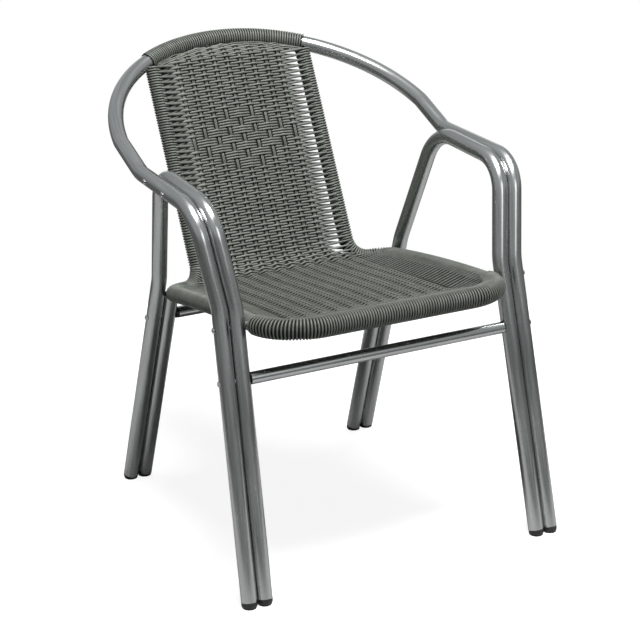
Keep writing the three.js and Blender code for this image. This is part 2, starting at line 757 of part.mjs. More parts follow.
function addGlides() {
  const feet = [
    ["front_outer", frontFoot, frontKnee],
    ["front_inner", inward(frontFoot, 1), inward(frontKnee, 1)],
    ["rear_outer", rearFoot, rearKnee],
    ["rear_inner", inward(rearFoot, 1), inward(rearKnee, 1)],
  ];
  const bore = (tubeRadius - tubeWall) * Math.cos(Math.PI / boreSides) - fitGap;
  const floorSize = 4 * tubeRadius;
  [-1, 1].forEach((side) => {
    feet.forEach(([name, foot, knee]) => {
      const axis = mirrored(knee, side).sub(mirrored(foot, side)).normalize();
      const collar = glideHeight / axis.z - fitGap;
      const profile = [
        new THREE.Vector2(0, -glideChamfer),
        new THREE.Vector2(glideSoleRadius, -glideChamfer),
        new THREE.Vector2(tubeRadius, glideChamfer),
        new THREE.Vector2(tubeRadius, collar),
        new THREE.Vector2(bore, collar),
        new THREE.Vector2(bore, collar + glidePlugLength),
        new THREE.Vector2(0, collar + glidePlugLength),
      ];
      const turned = new THREE.LatheGeometry(profile, tubeSides);
      turned.applyQuaternion(new THREE.Quaternion().setFromUnitVectors(up, axis));
      const place = mirrored(foot, side);
      turned.translate(place.x, place.y, place.z);
      const floor = new THREE.BoxGeometry(floorSize, floorSize, floorSize);
      floor.translate(place.x, place.y, -floorSize / 2);
      addPiece(sideName(side) + "_" + name + "_glide", cut(turned, [floor]), blackPlastic);
    });
  });
}

addFrameTubes();
addRim();
addWoundStrands();
const rimCutter = tube(rimRings(), rimRadius + sideWrapThickness + fitGap, 0);
addWovenBack([rimCutter, wrappedHoop()]);
addWovenSeat([rimCutter, frontRollRoom()]);
addStretchers();
addFasteners();
addGlides();

// The origin is on the floor, under the middle of the chair's box
const box = new THREE.Box3().setFromObject(chair, true);
const middle = box.getCenter(new THREE.Vector3());
chair.position.set(-middle.x, -middle.y, -box.min.z);

export default chair;
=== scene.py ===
# A stacking bistro chair: its woven back and seat, its windings and its finishes. Metres.
import json
import math
import bpy
import numpy as np
from mathutils import Matrix, Vector


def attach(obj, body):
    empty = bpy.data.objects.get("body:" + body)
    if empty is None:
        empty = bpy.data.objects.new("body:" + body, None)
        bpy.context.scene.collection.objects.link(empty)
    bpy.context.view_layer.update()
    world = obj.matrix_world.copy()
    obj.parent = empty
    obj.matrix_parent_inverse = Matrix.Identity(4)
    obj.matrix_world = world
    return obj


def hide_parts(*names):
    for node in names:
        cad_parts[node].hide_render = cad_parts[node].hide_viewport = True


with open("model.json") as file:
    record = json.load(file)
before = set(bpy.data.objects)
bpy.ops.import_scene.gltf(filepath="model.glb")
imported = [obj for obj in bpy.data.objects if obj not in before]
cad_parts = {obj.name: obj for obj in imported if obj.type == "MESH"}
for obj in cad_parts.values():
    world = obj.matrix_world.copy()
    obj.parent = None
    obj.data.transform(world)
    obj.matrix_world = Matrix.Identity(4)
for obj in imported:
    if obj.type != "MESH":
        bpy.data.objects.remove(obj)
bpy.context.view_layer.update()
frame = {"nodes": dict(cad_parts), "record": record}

# How far the chair's own lines are moved to stand over the frame's origin
CHAIR_SHIFT_Y = -0.068743

# Rim tube of the seat and back
RIM_RADIUS = 0.010
UPRIGHT_X = 0.1395
UPRIGHT_TOP = (0.1395, 0.3366, 0.7030)
UPRIGHT_FOOT = (0.1395, 0.1730, 0.3680)
RIM_REAR = (0.2041, 0.1535, 0.3720)
RIM_FRONT = (0.2041, -0.2370, 0.4176)
UPRIGHT_BEND = 0.036
RIM_REAR_BEND = 0.031
RIM_FRONT_BEND = 0.076
RIM_SIDE_RISE = 0.006

# Hoop over the back
HOOP_RADIUS = 0.0125
HOOP_HALF_WIDTH = 0.2753
HOOP_REACH = 0.2836
HOOP_CENTRE = (0.0, 0.1240, 0.6149)
HOOP_TILT = math.radians(23.5)
HOOP_WRAP_HALF = 0.144

# Frame tubes
TUBE_RADIUS = 0.0125
TUBE_WALL = 0.0015
PAIR_STEP = 0.0254
GLIDE_HEIGHT = 0.009
FRONT_FOOT = (0.2698, -0.2500, 0.0)
FRONT_KNEE = (0.2572, -0.1527, 0.4409)
ARM_FRONT = (0.2771, -0.1194, 0.5886)
ARM_REAR = (0.2473, 0.0681, 0.6019)
REAR_KNEE = (0.2246, 0.1474, 0.4013)
REAR_FOOT = (0.2327, 0.2982, 0.0)
KNEE_BEND = 0.110
ARM_FRONT_BEND = 0.062
ARM_REAR_BEND = 0.0688
HOOP_START_BEND = 0.049
HOOP_START_ANGLE = math.radians(98.3)
HOOP_LEAD_ANGLE = HOOP_START_ANGLE * 5 / 6
INNER_REAR_LEG_TOP = 0.366
STRETCHER_RADIUS = 0.0095
FRONT_STRETCHER_Z = 0.335
REAR_STRETCHER_Z = 0.330
REAR_STRETCHER_END = 0.1841

# Strand
BACK_FILL_SHARE = 0.77
SEAT_FILL_SHARE = 0.72
STRIP_FILL_SHARE = 1.08
SEAT_STRIP_FILL_SHARE = 0.60
STRIP_FADE_SHARE = 0.25
RIM_END_SHARE = 0.62
RIM_END_LENGTH = 0.024
BACK_THICKNESS = 0.0030
SEAT_THICKNESS = 0.0010
# Width share and thickness of the near-black strands that paint the shade inside the weave
SHADE_FILL_SHARE = 1.1
SHADE_THICKNESS = 0.0010
WARP_WIDTH = 0.0022
WARP_THICKNESS = 0.0018
WARP_PAIR_STEP = 0.0023
BACK_SWING = 0.0025
SEAT_SWING = 0.0038
BACK_REACH_SHARE = 0.40
SEAT_REACH_SHARE = 0.43
WARP_SWING = 0.0010
TOP_FILL_SHARE = 0.90
TOP_LEAST_WIDTH = 0.0012
WINDING_THICKNESS = 0.0029
WINDING_FILL_SHARE = 0.68
SIDE_FILL_SHARE = 0.56
TURN_THICKNESS = 0.0019
# Thickness of the near-black layer that paints the shade between turns on the rim and the hoop
SHADE_LAYER_THICKNESS = 0.0008

# Back rows
BACK_TOP_Z = 0.705
TOP_ROWS = 7
BACK_ROWS = 74
BACK_ROW_RISE = 0.00413
BACK_SAG = 0.008
BACK_WARP_STEP = 0.0235
BACK_WARPS = 4
MOTIF_ROW = 31
MOTIF_BLOCK_ROWS = 3
MOTIF_SHOWN = {-3: (1,), -2: (0, 2), -1: (1, 3), 0: (0, 2, 4), 1: (1, 3), 2: (0, 2), 3: (1,)}
MOTIF_COVERED = {-3: (0,), -2: (1,), -1: (0, 2), 0: (1, 3), 1: (0, 2), 2: (1,), 3: (0,)}

# Bend between back and seat, and seat rows
BEND_RADIUS = 0.050
BEND_END_REACH = 0.010
BEND_ROWS = 12
MIDDLE_BEND_ROW = BACK_ROWS + BEND_ROWS // 2
SEAT_ROWS = 76
SEAT_WARP_STEP = 0.0266
SEAT_WARPS = 5
SEAT_LEVEL_Y = (0.160, 0.065, -0.010, -0.085, -0.147, -0.180, -0.205)
SEAT_LEVEL_Z = (0.0, -0.004, -0.006, -0.0075, -0.0080, -0.0020, 0.0060)
BACK_ATTACH_TILT = math.radians(74)
SEAT_ATTACH_TILT = math.radians(48)
STRIP_OPEN_REACH = 0.008
# How far the painted shade inside the weave lies back behind the back's left-hand strip
STRIP_SHADE_DEPTH = 0.010

# Front roll
ROLL_RADIUS = 0.0154
ROLL_TIP_REACH = 0.032
ROLL_LEAST_REACH = 0.0165
ROLL_TIP_RISE = 0.006
ROLL_PITCH = 0.0045
ROLL_CORNER_PITCH = 0.0056
ROLL_FILL_SHARE = 0.62
# Size and spacing of the near-black shape that paints the shade inside the front roll
ROLL_SHADE_SHARE = 0.93
ROLL_SHADE_STEP = 0.003
ROLL_FAN_ANGLE = math.radians(88)

# Windings
UPRIGHT_PITCH = 0.0044
UPRIGHT_WINDING_START = UPRIGHT_PITCH / 4
UPRIGHT_WINDING_END = UPRIGHT_BEND / 3
SIDE_PITCH = 0.0046
SIDE_OUTER_RADIUS = 0.0135
HOOP_PITCH = 0.0044

# Two binding strands side by side under the hoop's winding
BINDING_X = (-0.140, -0.106, -0.078, -0.055, 0.002, 0.023, 0.070, 0.102, 0.136)
BINDING_DROP = (0.0060, 0.0080, 0.0065, 0.0054, 0.0057, 0.0021, 0.0016, 0.0050, 0.0033)
BINDING_STEP = 0.0032
BINDING_WIDTH = 0.0021
BINDING_THICKNESS = 0.0016
BINDING_DEPTH = 0.0046
BINDING_COUNT = 2
BINDING_POINTS = 60

# Camera, from the photograph's frame
CAMERA_YAW = math.radians(-27.475)
CAMERA_PITCH = math.radians(19.10)
CAMERA_ROLL = math.radians(-1.18)
CAMERA_TARGET_Z = 0.370
CAMERA_DEPTH = 3.27466
CAMERA_RIGHT = -0.00917
CAMERA_UP = -0.033266
CAMERA_LENS_MM = 114.89
CAMERA_SENSOR_MM = 36.0
CAMERA_FAR = 100.0

# Floor, and how much brighter it looks than its lit colour
FLOOR_RADIUS = 1.1
FLOOR_SIDES = 64
FLOOR_COLOR = (0.45, 0.45, 0.45, 1)
FLOOR_ROUGHNESS = 0.9
FLOOR_LIFT = 0.85

# Colours of the room that the metal shows, from straight down to straight up
ROOM_STOPS = [(0.0, (0.10, 0.10, 0.10, 1)), (0.46, (0.15, 0.15, 0.15, 1)),
              (0.62, (0.40, 0.42, 0.42, 1)), (1.0, (0.44, 0.46, 0.46, 1))]

# Where the room's front is, and how squarely a ray has to point away from it to meet the backdrop
ROOM_FRONT = (-0.46, -0.89, 0.0)
BACKDROP_FROM = -0.90
BACKDROP_TO = -0.99

# Light of the room on everything
ROOM_LEVEL = 0.13
WHITE = (1, 1, 1, 1)

# Lamps: place, size and power
AIM = (0.0, 0.0, 0.4)
KEY_PLACE = (0.2, -0.9, 3.5)
KEY_SIZE = (2.0, 1.2)
KEY_POWER = 172
FILL_PLACE = (0.4, -3.0, 1.6)
FILL_SIZE = (1.1, 1.3)
FILL_POWER = 8

# Finishes. A grain is a noise's scale and detail, stops are places and colours along it,
# and a relief is a bump's strength and depth.
STRAND_COLORS = ((0.114, 0.125, 0.108, 1), (0.190, 0.203, 0.181, 1))
# Near-black colours that paint the shade between strands and turns
PAINTED_SHADE_COLORS = ((0.013, 0.015, 0.012, 1), (0.022, 0.025, 0.021, 1))
STRAND_GRAIN = (60, 3)
STRAND_GRAIN_STOPS = (0.35, 0.65)
STRAND_OWN_SHARE = 0.4
STRAND_ROUGHNESS = 0.45
STRAND_GLOSS = 0.40
# Low gloss of the painted shade, so that it stays dark
PAINTED_SHADE_GLOSS = 0.02
STRAND_RELIEF_GRAIN = (900, 2)
STRAND_RELIEF = (0.12, 0.0003)

# Lines of polishing: how many round a tube and along a metre of it
POLISH_STRETCH = (14, 9, 1)
POLISH_SCALE = 1.0
POLISH_COLOR_DETAIL = 4
POLISH_ROUGHNESS_DETAIL = 5
POLISH_RELIEF_DETAIL = 2
POLISH_RELIEF = (0.10, 0.0004)
ALUMINIUM_COLOR_STOPS = [(0.3, (0.46, 0.47, 0.47, 1)), (0.7, (0.62, 0.63, 0.63, 1))]
ALUMINIUM_ROUGHNESS_STOPS = [(0.3, (0.16, 0.16, 0.16, 1)), (0.7, (0.28, 0.28, 0.28, 1))]

PLASTIC_GRAIN = (80, 3)
PLASTIC_STOPS = [(0.3, (0.012, 0.012, 0.013, 1)), (0.7, (0.028, 0.028, 0.029, 1))]
PLASTIC_ROUGHNESS = 0.45
PLASTIC_RELIEF_GRAIN = (600, 2)
PLASTIC_RELIEF = (0.1, 0.0003)

STEEL_GRAIN = (200, 3)
STEEL_STOPS = [(0.3, (0.66, 0.66, 0.66, 1)), (0.7, (0.82, 0.82, 0.83, 1))]
STEEL_ROUGHNESS = 0.18

# Fineness
PATH_STEP = 0.0015
RUN_OUT_STEP = 2 * PATH_STEP
RUN_OUT_LEAST_STEPS = 4
TUBE_STEP = 0.006
TUBE_SIDES = 32
HOOP_STEPS = 120
HOOP_ARC_POINTS = 60
TURN_STEPS = 14
WARP_GAP_STEPS = 8
TOP_WARP_POINTS = 8
ROLL_FLAT_STEPS = 5
SECTION_SIDES = 8
SHARP_ANGLE = math.radians(50)

# Points nearer than this are one point
LEAST_GAP = PATH_STEP / 100

# A line runs across the chair if at least this share of its direction does
ACROSS_SHARE = 0.5


def unit(vectors):
    return vectors / np.linalg.norm(vectors, axis=-1, keepdims=True)


def smooth(share):
    share = np.clip(share, 0, 1)
    return share * share * (3 - 2 * share)


def mirror(points):
    return points * np.array([-1.0, 1.0, 1.0])


def whole_line(half):
    """The right-hand half of a line that ends in the middle, and on along its mirror image."""
    return np.concatenate([half, mirror(half[:-1])[::-1]])


def bent_path(corners, bends, step=PATH_STEP):
    """Points along straight lines joined by round bends."""
    corners = [np.array(corner, float) for corner in corners]
    knots = [corners[0]]
    for i, radius in enumerate(bends, start=1):
        last = unit(corners[i - 1] - corners[i])
        following = unit(corners[i + 1] - corners[i])
        half = math.acos(float(np.clip(last @ following, -1, 1))) / 2
        centre = corners[i] + unit(last + following) * radius / math.sin(half)
        start = corners[i] + last * radius / math.tan(half)
        spoke = start - centre
        along = -last * radius
        sweep = math.pi - 2 * half
        count = max(2, int(sweep * radius / step))
        for k in range(count + 1):
            turn = sweep * k / count
            knots.append(centre + spoke * math.cos(turn) + along * math.sin(turn))
    knots.append(corners[-1])
    points = [knots[0]]
    for here, there in zip(knots[:-1], knots[1:]):
        count = max(1, int(math.ceil(np.linalg.norm(there - here) / step)))
        points.extend(here + (there - here) * (k / count) for k in range(1, count + 1))
    return np.array(points)


class Run:
    """A line in space with lengths along it and a frame that doesn't twist."""

    def __init__(self, points, first_normal):
        steps = np.linalg.norm(np.diff(points, axis=0), axis=1)
        self.points = points[np.concatenate([[True], steps > LEAST_GAP])]
        gaps = np.linalg.norm(np.diff(self.points, axis=0), axis=1)
        self.lengths = np.concatenate([[0.0], np.cumsum(gaps)])
        self.tangents = unit(np.gradient(self.points, axis=0))
        normal = np.array(first_normal, float)
        normals = []
        for tangent in self.tangents:
            normal = unit(normal - tangent * (normal @ tangent))
            normals.append(normal)
        self.normals = np.array(normals)

    def _sample(self, table, along):
        return np.stack([np.interp(along, self.lengths, table[:, c]) for c in range(3)], axis=-1)

    def at(self, along):
        """Point, tangent, normal and binormal at lengths along the line."""
        tangent = unit(self._sample(self.tangents, along))
        normal = self._sample(self.normals, along)
        normal = unit(normal - tangent * np.sum(normal * tangent, axis=-1, keepdims=True))
        return self._sample(self.points, along), tangent, normal, np.cross(tangent, normal)

    def length_where(self, test):
        return self.lengths[np.argmax(test(self.points))]


# Meshes

def add_object(name, data):
    added = bpy.data.objects.new(name, data)
    bpy.context.scene.collection.objects.link(added)
    return added


def add_piece(name, mesh, material):
    mesh.update()
    mesh.materials.append(material)
    return add_object(name, mesh)


def finish_piece(piece, slot, *nodes):
    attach(piece, "root")
    if nodes:
        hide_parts(*nodes)


def smooth_mesh(name, places, faces):
    """A smooth mesh from places in the chair's own lines."""
    mesh = bpy.data.meshes.new(name)
    moved = places + np.array([0.0, CHAIR_SHIFT_Y, 0.0])
    mesh.from_pydata(moved.tolist(), [], faces)
    mesh.polygons.foreach_set("use_smooth", [True] * len(mesh.polygons))
    return mesh


def section(width, thickness):
    """Outline of a strand. With many widths it is one outline for each."""
    turns = np.linspace(0, 2 * math.pi, SECTION_SIDES, endpoint=False)
    across = np.cos(turns) * np.asarray(width)[..., None] / 2
    return np.stack(np.broadcast_arrays(across, np.sin(turns) * thickness / 2), axis=-1)


def strand_rings(points, normals, outline):
    """The strand's outline at each of its points."""
    outline = np.broadcast_to(outline, (len(points),) + outline.shape[-2:])
    tangents = unit(np.gradient(points, axis=0))
    across = unit(np.cross(tangents, normals))
    facing = np.cross(across, tangents)
    return (points[:, None, :] + across[:, None, :] * outline[..., 0:1]
            + facing[:, None, :] * outline[..., 1:2])


def strand_faces(first, count, sides):
    """Faces round a strand from its first corner on, and one over each of its ends."""
    ring = first + np.arange(count - 1)[:, None] * sides
    side = np.arange(sides)[None, :]
    next_side = (side + 1) % sides
    corners = [ring + side, ring + next_side, ring + sides + next_side, ring + sides + side]
    start_face = [first + k for k in range(sides - 1, -1, -1)]
    end_face = [first + (count - 1) * sides + k for k in range(sides)]
    return np.stack(corners, axis=-1).reshape(-1, 4).tolist() + [start_face, end_face]


def strand_mesh(name, strands, material):
    """One piece of many strands. A strand is its points, the way its flat face looks, and its section."""
    places = []
    faces = []
    first = 0
    for points, normals, outline in strands:
        count = len(points)
        sides = outline.shape[-2]
        places.append(strand_rings(points, normals, outline).reshape(-1, 3))
        faces.extend(strand_faces(first, count, sides))
        first += count * sides
    return add_piece(name, smooth_mesh(name, np.concatenate(places), faces), material)


def tube_rings(run, radius, wall):
    """Rings of corners along the outside of a tube, and back along its inside."""
    turns = np.linspace(0, 2 * math.pi, TUBE_SIDES, endpoint=False)
    around = run.normals[:, None] * np.cos(turns)[None, :, None]
    binormals = np.cross(run.tangents, run.normals)
    around = around + binormals[:, None] * np.sin(turns)[None, :, None]
    outer = run.points[:, None] + around * radius
    inner = run.points[:, None] + around * (radius - wall)
    return np.concatenate([outer, inner[::-1]])


def tube_faces(count):
    """Faces from each ring to the next, and from the last ring to the first."""
    ring = np.arange(count)[:, None] * TUBE_SIDES
    next_ring = np.roll(ring, -1, axis=0)
    side = np.arange(TUBE_SIDES)[None, :]
    next_side = (side + 1) % TUBE_SIDES
    corners = [ring + side, ring + next_side, next_ring + next_side, next_ring + side]
    return np.stack(corners, axis=-1).reshape(-1, 4).tolist()


def tube_laid_flat(run):
    """Share of the way round and length along the tube, for each corner of each face."""
    lengths = np.concatenate([run.lengths, run.lengths[::-1]])
    along = np.broadcast_to(lengths[:, None], (len(lengths), TUBE_SIDES))
    next_along = np.roll(along, -1, axis=0)
    turned = np.broadcast_to(np.arange(TUBE_SIDES) / TUBE_SIDES, along.shape)
    next_turned = turned + 1 / TUBE_SIDES
    corners = [(turned, along), (next_turned, along), (next_turned, next_along), (turned, next_along)]
    return np.stack([np.stack(corner, axis=-1) for corner in corners], axis=2)


def tube_mesh(name, points, radius, wall, material):
    """A round tube along points, with its wall showing at both open ends."""
    across = abs(unit(points[1] - points[0])[0])
    run = Run(points, (1, 0, 0) if across < ACROSS_SHARE else (0, 0, 1))
    rings = tube_rings(run, radius, wall)
    mesh = smooth_mesh(name, rings.reshape(-1, 3), tube_faces(len(rings)))
    mesh.uv_layers.new(name="along_tube").data.foreach_set("uv", tube_laid_flat(run).reshape(-1))
    mesh.set_sharp_from_angle(angle=SHARP_ANGLE)
    return add_piece(name, mesh, material)


# Lines of the chair

def rim_share(y):
    """0 at the front of the seat's rim, 1 at its rear."""
    return np.clip((y - RIM_FRONT[1]) / (RIM_REAR[1] - RIM_FRONT[1]), 0, 1)


def rim_rise(y):
    """How far the rim's side stands above the straight line from front to rear."""
    share = rim_share(y)
    return 4 * RIM_SIDE_RISE * share * (1 - share)


def rim_level(y):
    return RIM_FRONT[2] + (RIM_REAR[2] - RIM_FRONT[2]) * rim_share(y) + rim_rise(y)


def rim_half():
    front_middle = (0.0, RIM_FRONT[1], RIM_FRONT[2])
    corners = [UPRIGHT_TOP, UPRIGHT_FOOT, RIM_REAR, RIM_FRONT, front_middle]
    points = bent_path(corners, [UPRIGHT_BEND, RIM_REAR_BEND, RIM_FRONT_BEND])
    points[:, 2] += rim_rise(points[:, 1])
    return points


def hoop_place(x, angle):
    reach = HOOP_REACH * np.cos(angle)
    y = HOOP_CENTRE[1] + reach * math.cos(HOOP_TILT)
    z = HOOP_CENTRE[2] + reach * math.sin(HOOP_TILT)
    return np.stack([x, y, z], axis=-1)


def hoop_points(x):
    return hoop_place(x, np.arcsin(x / HOOP_HALF_WIDTH))


def hoop_at_angle(angle):
    return hoop_place(HOOP_HALF_WIDTH * np.sin(angle), angle)


def hoop_edge(x, radius):
    """The lower front edge of the hoop, at a radius from its middle."""
    return hoop_points(x) + radius * np.array([0.0, -math.cos(HOOP_TILT), -math.sin(HOOP_TILT)])


def wound_hoop():
    """The part of the hoop that is wound."""
    return hoop_points(np.linspace(-HOOP_WRAP_HALF, HOOP_WRAP_HALF, HOOP_STEPS))


UPRIGHT_SLOPE = (UPRIGHT_TOP[1] - UPRIGHT_FOOT[1]) / (UPRIGHT_TOP[2] - UPRIGHT_FOOT[2])
RIM = rim_half()
RIM_BY_Y = RIM[np.argsort(RIM[:, 1], kind="stable")]
RIM_RUN = Run(RIM, (1, 0, 0))


def rim_at_y(y):
    """The rim's middle on the right-hand side where it is that far back."""
    return np.stack([np.interp(y, RIM_BY_Y[:, 1], RIM_BY_Y[:, c]) for c in range(3)], axis=-1)


def upright_y(z):
    """How far back the uprights are at a height."""
    return UPRIGHT_FOOT[1] + UPRIGHT_SLOPE * (z - UPRIGHT_FOOT[2])


def seat_level(y):
    """Height of the seat's weave in its middle."""
    rear_to_front = np.array(SEAT_LEVEL_Y)[::-1]
    return rim_level(y) + np.interp(y, rear_to_front, np.array(SEAT_LEVEL_Z)[::-1])


def bend_run(sag):
    """Side view of the straight back, the bend and the start of the seat."""
    corner_z = float(seat_level(RIM_REAR[1]))
    ahead_y = SEAT_LEVEL_Y[1]
    top = (0.0, upright_y(BACK_TOP_Z) + sag, BACK_TOP_Z)
    corner = (0.0, upright_y(corner_z) + sag, corner_z)
    ahead = (0.0, ahead_y, float(seat_level(ahead_y)))
    return Run(bent_path([top, corner, ahead], [BEND_RADIUS]), (1, 0, 0))


def profile(sag):
    """Side view of the weave, from the top of the back to the front crease, one point for each row."""
    back_z = BACK_TOP_Z - BACK_ROW_RISE * np.arange(BACK_ROWS)
    back = np.stack([upright_y(back_z) + sag, back_z], axis=-1)
    straight_end_z = BACK_TOP_Z - BACK_ROW_RISE * BACK_ROWS
    bend = bend_run(sag)
    start = bend.length_where(lambda p: p[:, 2] <= straight_end_z)
    end = bend.length_where(lambda p: p[:, 1] <= SEAT_LEVEL_Y[0] - BEND_END_REACH)
    bend_points = bend.at(np.linspace(start, end, BEND_ROWS, endpoint=False))[0][:, 1:]
    bend_end = bend.at(np.array([end]))[0][0]
    seat_y = np.linspace(bend_end[1], SEAT_LEVEL_Y[-1], SEAT_ROWS)
    join = bend_end[2] - seat_level(seat_y[0])
    fade = np.clip(1 - np.arange(SEAT_ROWS) / BEND_ROWS, 0, 1)
    seat = np.stack([seat_y, seat_level(seat_y) + join * fade], axis=-1)
    return np.concatenate([back, bend_points, seat])


MIDDLE = profile(BACK_SAG)
EDGE = profile(0.0)
ROWS = len(MIDDLE)
ROW_SLOPES = unit(np.gradient(EDGE, axis=0))


def surface(x, row):
    """Middle of the woven surface at x on a row."""
    share = np.clip(np.abs(x) / UPRIGHT_X, 0, 1)
    yz = EDGE[row] + (MIDDLE[row] - EDGE[row]) * (1 - share ** 2)[..., None]
    return np.concatenate([np.asarray(x)[..., None], yz], axis=-1)


def row_normal(row):
    slope = ROW_SLOPES[row]
    return np.array([0.0, slope[1], -slope[0]])


def row_normals(row, points):
    """The row's normal, once for each point."""
    return np.tile(row_normal(row), (len(points), 1))


def row_pitch(row):
    """Distance from one row to the next, along the weave."""
    low = max(row - 1, 0)
    high = min(row + 1, ROWS - 1)
    return float(np.linalg.norm(MIDDLE[high] - MIDDLE[low])) / (high - low)


def seat_share(row):
    """0 on the back, 1 on the seat, and between them in the bend."""
    return float(smooth((row - BACK_ROWS) / BEND_ROWS))


def back_to_seat(back, seat, row):
    """The back's value, which becomes the seat's in the bend."""
    return back + (seat - back) * seat_share(row)


def warp_step(row):
    return back_to_seat(BACK_WARP_STEP, SEAT_WARP_STEP, row)


def swing_depth(row):
    return back_to_seat(BACK_SWING, SEAT_SWING, row)


def warps_on(row):
    return SEAT_WARPS if row >= MIDDLE_BEND_ROW else BACK_WARPS


# Strands of the weave

def passes_over(row, warp):
    """1 where the row's strand runs in front of that warp, -1 where it runs behind."""
    block = round((row - MOTIF_ROW) / MOTIF_BLOCK_ROWS)
    if abs(warp) in MOTIF_SHOWN.get(block, ()):
        return -1
    if abs(warp) in MOTIF_COVERED.get(block, ()):
        return 1
    return 1 if (row + warp) % 2 == 0 else -1


def attach_point(row):
    """Where a row ends on the rim's right-hand winding: every other one goes round in front or on top."""
    centre = rim_at_y(EDGE[row][0])
    tilt = back_to_seat(BACK_ATTACH_TILT, SEAT_ATTACH_TILT, row)
    if row % 2 == 0:
        tilt = -tilt
    outer = SIDE_OUTER_RADIUS - RIM_RADIUS - WINDING_THICKNESS
    radius = RIM_RADIUS + WINDING_THICKNESS + outer * seat_share(row)
    return centre + radius * (math.sin(tilt) * row_normal(row) - np.array([math.cos(tilt), 0.0, 0.0]))


def over_warp(distance, row):
    """How much of its full swing a row has at a distance from a warp."""
    reach_share = back_to_seat(BACK_REACH_SHARE, SEAT_REACH_SHARE, row)
    return smooth(1 - distance / (reach_share * warp_step(row)))


def row_run_out(row, start, sign):
    """A row from its last warp to the right-hand rim: level at first, then up or down to where it ends."""
    end = attach_point(row)
    span = end[0] - start[0]
    level = surface(start[:1] + min(STRIP_OPEN_REACH, span / 2), row)[0]
    steps = max(RUN_OUT_LEAST_STEPS, int(span / RUN_OUT_STEP))
    reach = np.linspace(0, 1, steps + 1)[1:] * span
    open_share = np.clip((reach - level[0] + start[0]) / (end[0] - level[0]), 0, 1)
    level_share = np.minimum(reach / (level[0] - start[0]), 1)
    line = start + (level - start) * level_share[:, None] + (end - level) * open_share[:, None]
    swing = sign * swing_depth(row) * over_warp(reach, row)
    return line + swing[:, None] * row_normal(row)


def weft_widths(row, x, rim_x):
    """Width of a row's strand at x: another in the strips beside the warps, and narrow at the rim."""
    step = warp_step(row)
    fill = back_to_seat(BACK_FILL_SHARE, SEAT_FILL_SHARE, row)
    strip_fill = back_to_seat(STRIP_FILL_SHARE, SEAT_STRIP_FILL_SHARE, row)
    past = smooth((np.abs(x) - warps_on(row) * step) / (step * STRIP_FADE_SHARE) + 1)
    near_rim = smooth((np.abs(x) - rim_x) / RIM_END_LENGTH + 1)
    return row_pitch(row) * (fill + (strip_fill - fill) * past) * (1 - (1 - RIM_END_SHARE) * near_rim)


def weft_row(row):
    """One strand across the chair, over and under the warps, to the rim on both sides."""
    step = warp_step(row)
    last = warps_on(row)
    signs = np.array([passes_over(row, warp) for warp in range(-last, last + 1)], float)
    x = np.linspace(-last * step, last * step, 2 * last * WARP_GAP_STEPS + 1)
    nearest = np.rint(x / step)
    swing = signs[nearest.astype(int) + last] * over_warp(np.abs(x - nearest * step), row)
    swing = swing * swing_depth(row)
    woven = surface(x, row) + swing[:, None] * row_normal(row)
    start = surface(np.array([last * step]), row)[0]
    right = row_run_out(row, start, signs[-1])
    left = mirror(row_run_out(row, start, signs[0]))[::-1]
    points = np.concatenate([left, woven, right])
    widths = weft_widths(row, points[:, 0], right[-1, 0])
    thickness = back_to_seat(BACK_THICKNESS, SEAT_THICKNESS, row)
    return points, row_normals(row, points), section(widths, thickness)


def painted_shade_row(row):
    """Painted shade inside the weave: a near-black strand between two rows. The back's right-hand strip
    stays open.
    """
    seat = seat_share(row)
    last = warps_on(row)
    last_x = last * warp_step(row)
    rim = rim_at_y(EDGE[row][0])
    rim_x = rim[0] - RIM_RADIUS
    open_x = last_x + STRIP_OPEN_REACH
    x = np.linspace(-rim_x, open_x + (rim_x - open_x) * seat, 2 * last * WARP_GAP_STEPS + 1)
    past = np.clip((np.abs(x) - last_x) / (rim_x - last_x), 0, 1)
    rise = (rim[2] - EDGE[row][1]) * seat
    lift = past * (rise - STRIP_SHADE_DEPTH * (1 - seat) * (x < 0))
    points = (surface(x, row) + surface(x, row + 1)) / 2 + lift[:, None] * row_normal(row)
    outline = section(row_pitch(row) * SHADE_FILL_SHARE, SHADE_THICKNESS)
    return points, row_normals(row, points), outline


def warp_strands(warp):
    """The two strands of one warp, side by side, from the top of the back to the front crease."""
    rows = np.arange(0 if abs(warp) <= BACK_WARPS else MIDDLE_BEND_ROW, ROWS)
    normals = np.array([row_normal(row) for row in rows])
    strands = []
    for side in (-1, 1):
        points = []
        for row in rows:
            x = np.array([warp * warp_step(row) + side * WARP_PAIR_STEP / 2])
            lift = -passes_over(row, warp) * WARP_SWING
            points.append(surface(x, row)[0] + lift * row_normal(row))
        strands.append((np.array(points), normals, section(WARP_WIDTH, WARP_THICKNESS)))
    return strands


def top_warp_strands():
    """The warps from the back's first row up to the hoop."""
    strands = []
    for warp in range(-BACK_WARPS, BACK_WARPS + 1):
        for side in (-1, 1):
            x = np.array([warp * BACK_WARP_STEP + side * WARP_PAIR_STEP / 2])
            lower = surface(x, 0)[0]
            upper = hoop_edge(x, HOOP_RADIUS)[0]
            points = lower + (upper - lower) * np.linspace(0, 1, TOP_WARP_POINTS)[:, None]
            strands.append((points, row_normals(0, points), section(WARP_WIDTH, WARP_THICKNESS)))
    return strands


def top_fill_lines():
    """The back's first row, one row's step from it up to the hoop, and the widths and way it faces."""
    half = UPRIGHT_X - RIM_RADIUS
    x = np.linspace(-half, half, 2 * BACK_WARPS * WARP_GAP_STEPS + 1)
    lower = surface(x, 0)
    upper = hoop_edge(x, HOOP_RADIUS + WINDING_THICKNESS)
    gap = (upper - lower) / TOP_ROWS
    widths = np.maximum(np.linalg.norm(gap, axis=1), TOP_LEAST_WIDTH)
    normal = unit(np.cross(np.gradient(lower, axis=0), upper - lower))
    return lower, gap, widths, normal


